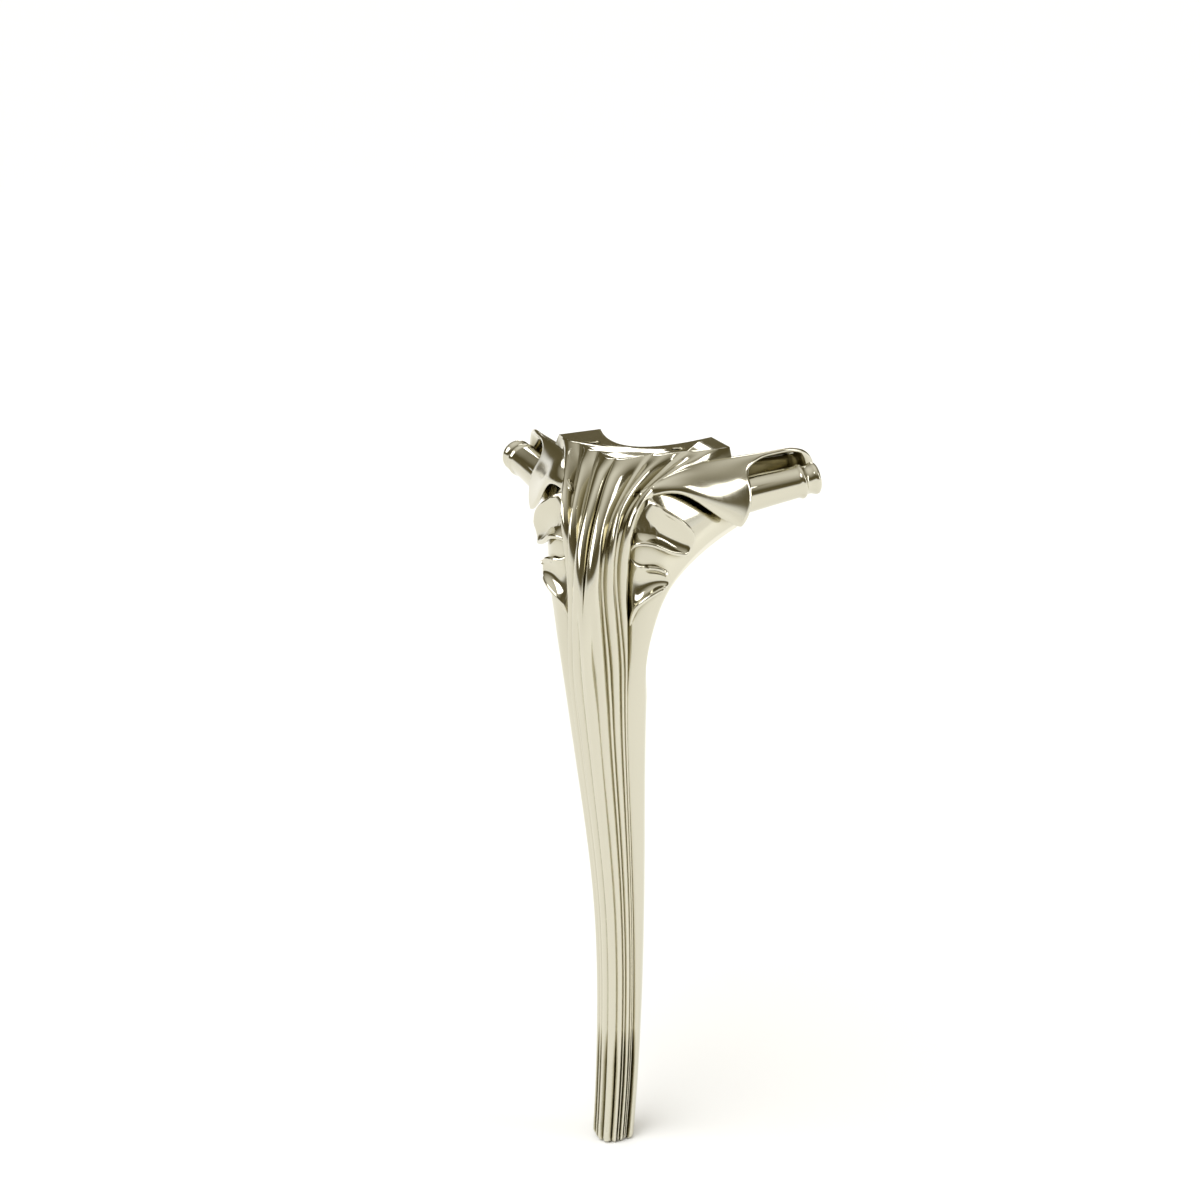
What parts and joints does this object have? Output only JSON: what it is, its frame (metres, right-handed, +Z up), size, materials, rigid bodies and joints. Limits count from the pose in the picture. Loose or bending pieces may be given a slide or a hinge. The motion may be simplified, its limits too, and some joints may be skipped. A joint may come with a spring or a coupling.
{
  "type": "cabriole furniture leg",
  "caption": "Cast and polished cabriole leg with a reeded stem, an acanthus leaf knee and scrolled wings, screwed under the corner of a cabinet or chest.",
  "frame": {"origin": "centre of the foot's flat sole, on the floor", "axes": "+Z up the leg, -Y the way the knee faces (outwards at the cabinet's corner), mirror plane x = 0, the two wings run back along +X+Y and -X+Y"},
  "size_m": [0.1402, 0.0947, 0.28],
  "materials": {
    "casting": "polished"
  },
  "bodies": {
    "root": {"leg": "casting"}
  },
  "joints": []
}
